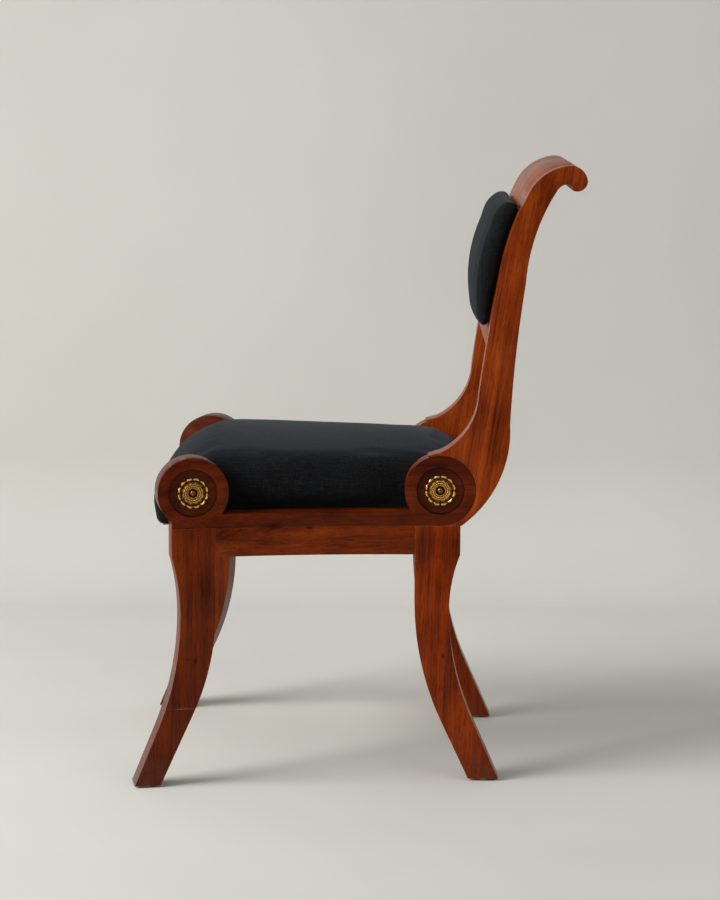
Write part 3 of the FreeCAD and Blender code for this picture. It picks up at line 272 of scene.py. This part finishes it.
# Glides: pressed nickel-plated steel buttons, one nailed under each foot, scratched dull and
# bright by the floor.
def stained_metal(name, scale, detail, stops, smooth, dull):
    """A metal whose colour and roughness change together over fine blotches; a blotch is about
    1 / scale of a metre wide."""
    material, shader = finish_named(name)
    where = add(material, "ShaderNodeTexCoord").outputs["Object"]
    blotches = add(material, "ShaderNodeTexNoise", inputs={"Vector": where, "Scale": scale, "Detail": detail})
    join(material, graded(material, blotches, stops), shader, "Base Color")
    rough = add(material, "ShaderNodeMapRange", inputs={0: blotches, 3: smooth, 4: dull})
    join(material, rough, shader, "Roughness")
    shader.inputs["Metallic"].default_value = 1
    return material


glide_steel = stained_metal("nickel_plated_glides", 900.0, 4.0, [(0.3, "#8d8b86"), (0.7, "#c9c7c0")],
                            smooth=0.25, dull=0.5)
for end, side in CORNERS:
    node = "%s_glide_%s" % (end, side)
    eased(node, node.replace("glide", "foot_glide"), glide_steel, arris=0.0004)

# Seat rails: bent side rails and straight front and rear rails, tenoned into the legs, with
# the grain along them. The near side rail has one small knot.
RAIL_TONES = "#3a1102", "#702804", "#8c3a08"
rail_knot = ((0.214, -0.066, 0.367), (0.020, 0.006, 0.0025), "#1d0a04", 0.8)
GRAIN_ALONG_Y, GRAIN_ALONG_X = (math.pi / 2, 0, 0), (0, math.pi / 2, 0)
side_wood = polished_mahogany("polished_mahogany_side_rails", *RAIL_TONES, lean=GRAIN_ALONG_Y,
                              marks=[rail_knot])
cross_wood = polished_mahogany("polished_mahogany_cross_rails", *RAIL_TONES, lean=GRAIN_ALONG_X)
for node, wood in (("side_rail_left", side_wood), ("side_rail_right", side_wood),
                   ("front_rail", cross_wood), ("rear_rail", cross_wood)):
    eased(node, "seat_" + node, wood, arris=0.0005, wear_and_highlight=False)

# Scroll boards: each low bent board and its two turned discs are one piece of darker, redder stock laid with
# the grain along the seat; the discs' dishes carry painted shade, as dark rings and a darker floor.
DISC_CENTRES = ((-0.2277, 0.419), (0.1175, 0.419))     # y and z of the dishes
# Painted shade in the dishes: radius, half width and share of each dark line. The dish's rim, its whole floor
# and a turned line.
DISH_SHADE_LINES = ((0.0330, 0.0008, 0.80), (0.0, 0.0325, 0.30), (0.0255, 0.0006, 0.35))
board_wood = polished_mahogany("polished_mahogany_scroll_boards", "#2c0d03", "#561c04", "#732b06",
                               lean=GRAIN_ALONG_Y,
                               shade_rings=[(centre, *line) for centre in DISC_CENTRES for line in DISH_SHADE_LINES])
for side in ("left", "right"):
    eased("scroll_rail_" + side, "scroll_board_" + side, board_wood, arris=0.0010)

# Stiles: they grow out of the rear discs and roll back at the top; one warmer plank each, with
# two old knocks on the near one and one on the far one.
stile_marks = [
    ((0.199, 0.150, 0.590), (0.020, 0.0035, 0.0055), "#2a0e05", 0.8),
    ((0.199, 0.157, 0.582), (0.020, 0.0025, 0.0035), "#2a0e05", 0.7),
    ((-0.163, 0.120, 0.590), (0.020, 0.004, 0.009), "#1d0a04", 0.8)]
stile_wood = polished_mahogany("polished_mahogany_stiles", "#4c1903", "#803005", "#9c450a",
                               lean=(0.16, 0, 0), marks=stile_marks)
for side in ("left", "right"):
    eased("back_stile_" + side, "stile_" + side, stile_wood, arris=0.0010)

# Crest rail, lower back rail and the panel between them, dowelled to the stiles, with the
# grain across the back.
back_wood = polished_mahogany("polished_mahogany_back_rails", "#461703", "#7c2f05", "#99430a",
                              lean=GRAIN_ALONG_X)
for node, name, slot in (("crest_rail", "crest", "frame_wood"),
                         ("lower_back_rail", "back_rail_low", "frame_wood"),
                         ("back_panel", "back_board", "hidden_wood")):
    eased(node, name, back_wood, arris=0.0008)

# Rosettes: thin brass stamped over a die with twelve round-ended petals, a rope of beads and a
# plain collar, one in each dish. Brown lacquer and dirt stay in the low parts, and the rims
# of the petals are rubbed bright.
brass, shader = finish_named("stamped_brass")
where = add(brass, "ShaderNodeTexCoord").outputs["Object"]
height = add(brass, "ShaderNodeAttribute", {"attribute_name": "relief"}).outputs["Fac"]
stain = add(brass, "ShaderNodeTexNoise", inputs={"Vector": where, "Scale": 420.0, "Detail": 4.0})
level = times(brass, height, 1.0, times(brass, stain, 0.5, -0.25))
tones = [(0.10, "#2b1608"), (0.34, "#8a5a24"), (0.60, "#cf9a4a"), (0.90, "#f6dba0")]
join(brass, graded(brass, level, tones), shader, "Base Color")
join(brass, graded(brass, level, [(0.15, 0.62), (0.9, 0.22)]), shader, "Roughness")
shader.inputs["Metallic"].default_value = 1
embossed(brass, shader, stain, 0.25, 0.0002)

ROSETTE = 0.0214          # outer radius of the stamping
PETALS = 12
# Middle of each dish's floor on the left side, and how far the front of the side is bent in.
DISHES = {"front": ((0.2320, -0.2276, 0.419), math.radians(12.2)), "rear": ((0.1956, 0.1175, 0.419), 0.0)}
SHEET = 0.0005            # sheet brass, seen at the rim
HOLE = 0.19               # the pin's hole and the petals' feet, as shares of the radius
PETAL_FOOT = 0.62
# Rows of beads: middle and half width as shares of the radius, number, and height in metres.
BEAD_ROWS = ((0.590, 0.050, 36, 0.0010), (0.480, 0.050, 24, 0.0013), (0.355, 0.065, 24, 0.0009))


def petal_relief(radius, angle):
    """Height of the stamping over its foot and the scallop of its rim, in metres and a share."""
    share = radius / ROSETTE
    lobe = abs(math.cos(angle * PETALS / 2))
    rise = 0.0007 if share > 0.29 else 0.0002
    if share > PETAL_FOOT:
        # A petal: a hollow spoon with a rolled lip round its end, and a rib between two petals.
        span = (share - PETAL_FOOT) / (1 - PETAL_FOOT)
        lip = max(0, 1 - ((span - 0.84) / 0.17) ** 2)
        rise += (0.0006 + 0.0010 * lip ** 0.5) * lobe ** 0.35 - 0.0007 * (1 - lobe) * span
        rise -= 0.0006 * max(0, 1 - ((span - 0.45) / 0.30) ** 2) * lobe
        rise += 0.0004 * max(0, 1 - abs(math.sin(angle * PETALS / 2)) * 9) * max(0, 1 - span * 1.6)
    for centre, wide, beads, tall in BEAD_ROWS:
        near = max(0, 1 - ((share - centre) / wide) ** 2)
        rise += tall * math.sqrt(near) * (0.25 + 0.75 * abs(math.cos(angle * beads / 2)) ** 0.8)
    scallop = 1 - 0.085 * (1 - lobe ** 0.6) * max(0, (share - 0.70) / 0.30)
    return rise, scallop


def stamped_rosette(end, side):
    """A rosette spun from a line of points about its centre, then raised point by point."""
    centre, lean = DISHES[end]
    flip = 1 if side == "left" else -1
    shape = bmesh.new()
    steps = 56
    line = [shape.verts.new((ROSETTE * (HOLE + (1 - HOLE) * i / steps), 0, 0)) for i in range(steps + 1)]
    edges = [shape.edges.new(pair) for pair in zip(line, line[1:])]
    bmesh.ops.spin(shape, geom=line + edges, cent=(0, 0, 0), axis=(0, 0, 1), angle=math.tau, steps=192,
                   use_merge=True)
    bmesh.ops.remove_doubles(shape, verts=shape.verts, dist=0.000001)
    relief = shape.verts.layers.float.new("relief")
    for vert in shape.verts:
        radius = vert.co.xy.length
        rise, scallop = petal_relief(radius, math.atan2(vert.co.y, vert.co.x) + math.pi / PETALS)
        # Dark up to 0.4 mm over the foot, bright from 2.5 mm on.
        vert[relief] = min(max((rise - 0.0004) / 0.0021, 0), 1)
        vert.co = Vector((vert.co.x * scallop, vert.co.y * scallop, rise))
    bmesh.ops.recalc_face_normals(shape, faces=shape.faces)
    if sum(f.normal.z for f in shape.faces) < 0:
        bmesh.ops.reverse_faces(shape, faces=shape.faces)
    bmesh.ops.solidify(shape, geom=shape.faces[:], thickness=SHEET)
    turn = Matrix.Rotation(flip * lean, 4, "Z") @ Matrix.Rotation(flip * math.pi / 2, 4, "Y")
    spot = Matrix.Translation((flip * centre[0], centre[1], centre[2]))
    bmesh.ops.transform(shape, matrix=spot @ turn, verts=shape.verts)
    return set_up("rosette_stamping_%s_%s" % (end, side), shape, brass,
                  ["rosette_%s_%s" % (end, side)], smooth=60)


for end, side in CORNERS:
    stamped_rosette(end, side)

# Pins: turned brass nails with domed heads, gone brown, that hold the rosettes.
old_brass = stained_metal("browned_brass_pins", 600.0, 3.0, [(0.3, "#4a3016"), (0.7, "#a87b3c")],
                          smooth=0.25, dull=0.5)
for side in ("left", "right"):
    eased("rosette_pins_" + side, "domed_pins_" + side, old_brass, arris=0.0002, steps=1)

# Seat frame, corner blocks and dowels: planed beech, unpolished, out of sight under the
# cushion and in the joints.
beech, shader = finish_named("planed_beech")
where = add(beech, "ShaderNodeTexCoord").outputs["Object"]
# Grain lines are 3 mm apart and 30 mm long; flecks are drawn 1 mm wide and 2 mm long.
lines = add(beech, "ShaderNodeMapping", inputs={"Vector": where, "Scale": (330, 30, 330)})
lines = add(beech, "ShaderNodeTexNoise", inputs={"Vector": lines, "Scale": 1.0, "Detail": 4.0})
flecks = add(beech, "ShaderNodeMapping", inputs={"Vector": where, "Scale": (1200, 450, 1200)})
flecks = add(beech, "ShaderNodeTexNoise", inputs={"Vector": flecks, "Scale": 1.0, "Detail": 1.0})
colour = graded(beech, lines, [(0.3, "#9a744a"), (0.5, "#b8925f"), (0.7, "#cba878")])
colour = tinted(beech, colour, "#7d5630", graded(beech, flecks, [(0.62, 0.0), (0.72, 0.6)]))
join(beech, colour, shader, "Base Color")
shader.inputs["Roughness"].default_value = 0.62
shader.inputs["IOR"].default_value = 1.45
embossed(beech, shader, lines, 0.3, 0.0003)
for node in sorted(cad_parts):
    if node.startswith(("corner_block", "seat_frame")):
        name = node.replace("corner", "glue").replace("seat_frame", "slip_frame")
        eased(node, name, beech, arris=0.0010)
    elif "dowels" in node:
        eased(node, node.replace("dowels", "joint_dowels"), beech, arris=0.0005, steps=1)

# Screws: blued steel countersunk screws that hold the slip frame from below.
steel = stained_metal("blued_steel_screws", 800.0, 3.0,
                      [(0.3, "#33353a"), (0.6, "#5d5f63"), (0.8, "#7a5b42")], smooth=0.3, dull=0.6)
for side in ("left", "right"):
    eased("seat_screws_" + side, "frame_screws_" + side, steel, arris=0.0002, steps=1)


# Webbing, hessian and dust cover: jute straps and sacking tacked on the slip frame, and a
# black cotton cloth under it all, each stretched flat.
def woven(name, dark, mid, pale, thread, rough=0.85, sheen=0.0, tint="#ffffff", fuzz=0.35, lint=None):
    """Plain-woven cloth: uneven threads along x, y and z, so each face shows the two that lie in
    it; thread is the spacing drawn, in mm. The eye gets slubs, weave and a soft bloom."""
    material, shader = finish_named(name)
    where = add(material, "ShaderNodeTexCoord").outputs["Object"]
    sets = []
    for axis in range(3):
        scale = [1000 / thread] * 3
        scale[axis] = 1000 / (thread * 26)
        lines = add(material, "ShaderNodeMapping", inputs={"Vector": where, "Scale": scale})
        sets.append(add(material, "ShaderNodeTexNoise", inputs={
            "Vector": lines, "Scale": 1.0, "Detail": 2.0, "Roughness": 0.5, "Distortion": 0.15}))
    cloth = times(material, sets[2], 0.30, -0.03)
    cloth = times(material, sets[0], 0.38, times(material, sets[1], 0.38, cloth))
    colour = graded(material, cloth, [(0.36, dark), (0.52, mid), (0.70, pale)])
    if lint:
        # One speck of lint to every 18 mm, 1 mm across.
        specks = add(material, "ShaderNodeTexVoronoi", {"feature": "F1"},
                     {"Vector": where, "Scale": 55.0, "Randomness": 1.0})
        speck = graded(material, specks.outputs["Distance"], [(0.018, 0.7), (0.035, 0.0)])
        colour = tinted(material, colour, lint, speck)
    join(material, colour, shader, "Base Color")
    shader.inputs["Roughness"].default_value = rough
    shader.inputs["IOR"].default_value = 1.4
    shader.inputs["Specular IOR Level"].default_value = 0.15
    shader.inputs["Sheen Weight"].default_value = sheen
    shader.inputs["Sheen Roughness"].default_value = 0.45
    shader.inputs["Sheen Tint"].default_value = linear(tint)
    embossed(material, shader, cloth, fuzz, 0.0008)
    return material


jute = woven("jute_webbing", "#6b5334", "#947650", "#b59a70", 2.0)
sacking = woven("hessian_sacking", "#6f5a3c", "#9d8360", "#bfa882", 2.4)
cotton = woven("black_cotton_dust_cover", "#101112", "#1a1b1c", "#2a2b2c", 1.2)
for node, name, slot, cloth in (
        ("seat_webbing_lengthwise", "webbing_lengthwise", "jute", jute),
        ("seat_webbing_crosswise", "webbing_crosswise", "jute", jute),
        ("seat_hessian", "hessian_sheet", "jute", sacking),
        ("seat_dust_cover", "dust_cover_cloth", "dust_cloth", cotton)):
    piece = set_up(name, merged(node), cloth, [node])

# Seat cushion: hair and wadding under close black linen, drawn down round the slip frame and
# swelling over the scroll boards between the discs. The skin is inflated a little by a
# cloth simulation, so that it fills out between its edges as stuffing does.
def skin_of(node, rim):
    """The outer skin of a CAD cover, closed where it was open at the height rim."""
    shape = merged(node, 0)
    rim_faces = [f for f in shape.faces if all(abs(v.co.z - rim) < 0.0002 for v in f.verts)]
    bmesh.ops.delete(shape, geom=rim_faces, context="FACES")
    left, islands = set(shape.faces), []
    while left:
        island, edge = set(), [next(iter(left))]
        while edge:
            face = edge.pop()
            if face not in island:
                island.add(face)
                edge += [other for e in face.edges for other in e.link_faces if other not in island]
        islands.append(island)
        left -= island
    outer = max(islands, key=lambda island: max(v.co.z for f in island for v in f.verts))
    bmesh.ops.delete(shape, geom=[f for f in shape.faces if f not in outer], context="FACES")
    bmesh.ops.holes_fill(shape, edges=shape.edges, sides=0)
    bmesh.ops.recalc_face_normals(shape, faces=shape.faces)
    return shape


def settled(piece):
    """Bakes what the modifiers give into the piece's own mesh."""
    bpy.context.view_layer.update()
    shaped = piece.evaluated_get(bpy.context.evaluated_depsgraph_get())
    mesh = bpy.data.meshes.new_from_object(shaped)
    piece.modifiers.clear()
    piece.data = mesh


def inflated(piece, voxel, limit, held, pressure=4, frames=20):
    """Remeshes a skin evenly and blows it up. limit gives the most that a point may move along
    x, y and z, in metres, and held is 1 where a point keeps still."""
    material = piece.data.materials[0]
    remesh = piece.modifiers.new("grid", "REMESH")
    remesh.mode, remesh.voxel_size = "VOXEL", voxel
    settled(piece)
    rest = [v.co.copy() for v in piece.data.vertices]
    group = piece.vertex_groups.new(name="held")
    for vert in piece.data.vertices:
        group.add([vert.index], held(vert.co), "REPLACE")
    cloth = piece.modifiers.new("swell", "CLOTH")
    cloth.settings.quality = 6
    cloth.settings.mass = 0.25
    cloth.settings.tension_stiffness = cloth.settings.compression_stiffness = 22
    cloth.settings.shear_stiffness = 12
    cloth.settings.bending_stiffness = 1.5
    cloth.settings.use_pressure = True
    cloth.settings.uniform_pressure_force = pressure
    cloth.settings.vertex_group_mass = "held"
    cloth.settings.effector_weights.gravity = 0
    cloth.collision_settings.use_collision = False
    for step in range(1, frames + 1):
        scene.frame_set(step)
    settled(piece)
    scene.frame_set(1)
    for vert, start in zip(piece.data.vertices, rest):
        moved = zip(limit(start), vert.co - start)
        vert.co = start + Vector([max(-most, min(most, way)) for most, way in moved])
    shape = bmesh.new()
    shape.from_mesh(piece.data)
    loose = [v for v in shape.verts if held(v.co) < 1]
    for _ in range(3):
        bmesh.ops.smooth_vert(shape, verts=loose, factor=0.5, use_axis_x=True, use_axis_y=True,
                              use_axis_z=True)
    shape.to_mesh(piece.data)
    shape.free()
    finer = piece.modifiers.new("finer", "SUBSURF")
    finer.levels = finer.render_levels = 1
    settled(piece)
    piece.data.materials.clear()
    piece.data.materials.append(material)
    piece.data.polygons.foreach_set("use_smooth", [True] * len(piece.data.polygons))


linen = woven("black_linen", "#070708", "#101113", "#212428", 1.7, rough=0.9, sheen=0.14, tint="#aab6c8",
              fuzz=0.6, lint="#5c5c5a")
BOARD_TOP = 0.3885        # top of the scroll boards, below which the skirt is tight
HELD_TOP = BOARD_TOP + 0.012
FULLNESS = 0.955          # height of the crown over the boards, as stuffed against as drawn
BELLY = 0.007             # how far the front face swells over the front rail
BELLY_LOW, BELLY_HIGH = 0.374, 0.474
BELLY_BACK, BELLY_DEEP = -0.200, 0.070
cushion = set_up("seat_cushion", skin_of("seat_cover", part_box("seat_cover")[0][2]), linen,
                 ["seat_cover", "seat_stuffing"])
for vert in cushion.data.vertices:
    point = vert.co
    if point.z > BOARD_TOP:
        point.z = BOARD_TOP + (point.z - BOARD_TOP) * FULLNESS
    rise = min(max((point.z - BELLY_LOW) / (BELLY_HIGH - BELLY_LOW), 0), 1)
    forward = min(max((BELLY_BACK - point.y) / BELLY_DEEP, 0), 1)
    point.y -= BELLY * max(0, math.sin(math.pi * rise)) ** 0.8 * forward
inflated(cushion, 0.006,
         lambda p: (0.0008, 0.0015, 0.0012) if p.z > BOARD_TOP else (0.0003, 0.0006, 0.0),
         lambda p: 1.0 if p.z < HELD_TOP else 0.0)

# Back pad: the same linen over wadding, fixed to the board between the stiles and fullest at
# mid height, with its near end drawn in to the stiles.
pad = set_up("back_pad", merged("back_stuffing", 0), linen, ["back_cover", "back_stuffing"])
inflated(pad, 0.004, lambda p: (0.0012, 0.0012, 0.0012), lambda p: 0.0)

# Outside back: the linen that closes the back, pulled flat from the crest to the lower rail.
outside = set_up("outside_back_cloth", merged("outside_back_cover"), linen,
                 ["outside_back_cover"])

# Studio: a pale floor and a pale wall a metre behind the chair, seen from its front only.
pale, shader = finish_named("pale_paper")
where = add(pale, "ShaderNodeTexCoord").outputs["Object"]
cloud = add(pale, "ShaderNodeTexNoise", inputs={"Vector": where, "Scale": 1.3, "Detail": 3.0})
join(pale, graded(pale, cloud, [(0.3, "#d3d3ce"), (0.7, "#dcdbd7")]), shader, "Base Color")
shader.inputs["Roughness"].default_value = 0.9
shader.inputs["Specular IOR Level"].default_value = 0.2
clear = add(pale, "ShaderNodeBsdfTransparent")
behind = add(pale, "ShaderNodeNewGeometry").outputs["Backfacing"]
seen = add(pale, "ShaderNodeMixShader", inputs={0: behind, 1: shader, 2: clear})
pale.node_tree.links.new(seen.outputs[0], pale.node_tree.nodes["Material Output"].inputs["Surface"])
WALL_X, WALL_TOP, COVE, REACH = -1.25, 5.0, 0.25, 7.0
for name in ("studio_floor", "studio_wall"):
    shape = bmesh.new()
    if name == "studio_floor":
        bmesh.ops.create_grid(shape, x_segments=1, y_segments=1, size=REACH)
    else:
        foot = shape.verts.new((WALL_X + COVE, -REACH, 0.0005))
        bmesh.ops.spin(shape, geom=[foot], cent=(WALL_X + COVE, 0, COVE), axis=(0, 1, 0), angle=math.pi / 2,
                       steps=12)
        top = min(shape.verts, key=lambda v: v.co.x)
        raised = bmesh.ops.extrude_vert_indiv(shape, verts=[top])
        raised["verts"][0].co.z = WALL_TOP
        out = bmesh.ops.extrude_edge_only(shape, edges=shape.edges[:])
        for vert in out["geom"]:
            if isinstance(vert, bmesh.types.BMVert):
                vert.co.y = REACH
        bmesh.ops.recalc_face_normals(shape, faces=shape.faces)
        if sum(f.normal.x for f in shape.faces) < 0:
            bmesh.ops.reverse_faces(shape, faces=shape.faces)
    mesh = bpy.data.meshes.new(name)
    shape.to_mesh(mesh)
    shape.free()
    mesh.polygons.foreach_set("use_smooth", [True] * len(mesh.polygons))
    mesh.materials.append(pale)
    stand = bpy.data.objects.new(name, mesh)
    scene.collection.objects.link(stand)

# Light: a broad window in front of the chair and a little to its left, a dim room on the
# camera's side and daylight thrown back by the walls.
world = bpy.data.worlds.new("room")
scene.world = world
world.use_nodes = True
sky = world.node_tree.nodes["Background"]
TO_WINDOW = (-0.35, -0.80, 0.50)
aim = add(world, "ShaderNodeVectorMath", {"operation": "DOT_PRODUCT"},
          {0: add(world, "ShaderNodeTexCoord").outputs["Generated"], 1: TO_WINDOW})
shade = graded(world, add(world, "ShaderNodeMapRange", inputs={0: aim.outputs["Value"], 1: -1.0, 2: 1.0}),
               [(0.25, "#6e6c69"), (0.80, "#dcdfe2")])
world.node_tree.links.new(shade, sky.inputs["Color"])
sky.inputs["Strength"].default_value = 0.8


def lamp(name, place, aim, size, watts, tint):
    """A rectangular light at a place, turned to a point, that throws its light in a cone."""
    light = bpy.data.lights.new(name, "AREA")
    light.shape = "RECTANGLE"
    light.size, light.size_y = size
    light.energy = watts
    light.color = linear(tint)[:3]
    light.spread = math.radians(110)
    holder = bpy.data.objects.new(name, light)
    scene.collection.objects.link(holder)
    way = (Vector(aim) - Vector(place)).to_track_quat("-Z", "Y")
    holder.matrix_world = Matrix.Translation(place) @ way.to_matrix().to_4x4()


lamp("window", (1.3, -3.0, 2.2), (0, 0, 0.5), (2.0, 2.2), 55, "#fffcf6")
lamp("room", (2.6, 2.4, 2.6), (0, 0, 0.4), (2.5, 2.5), 7.5, "#fffaf2")
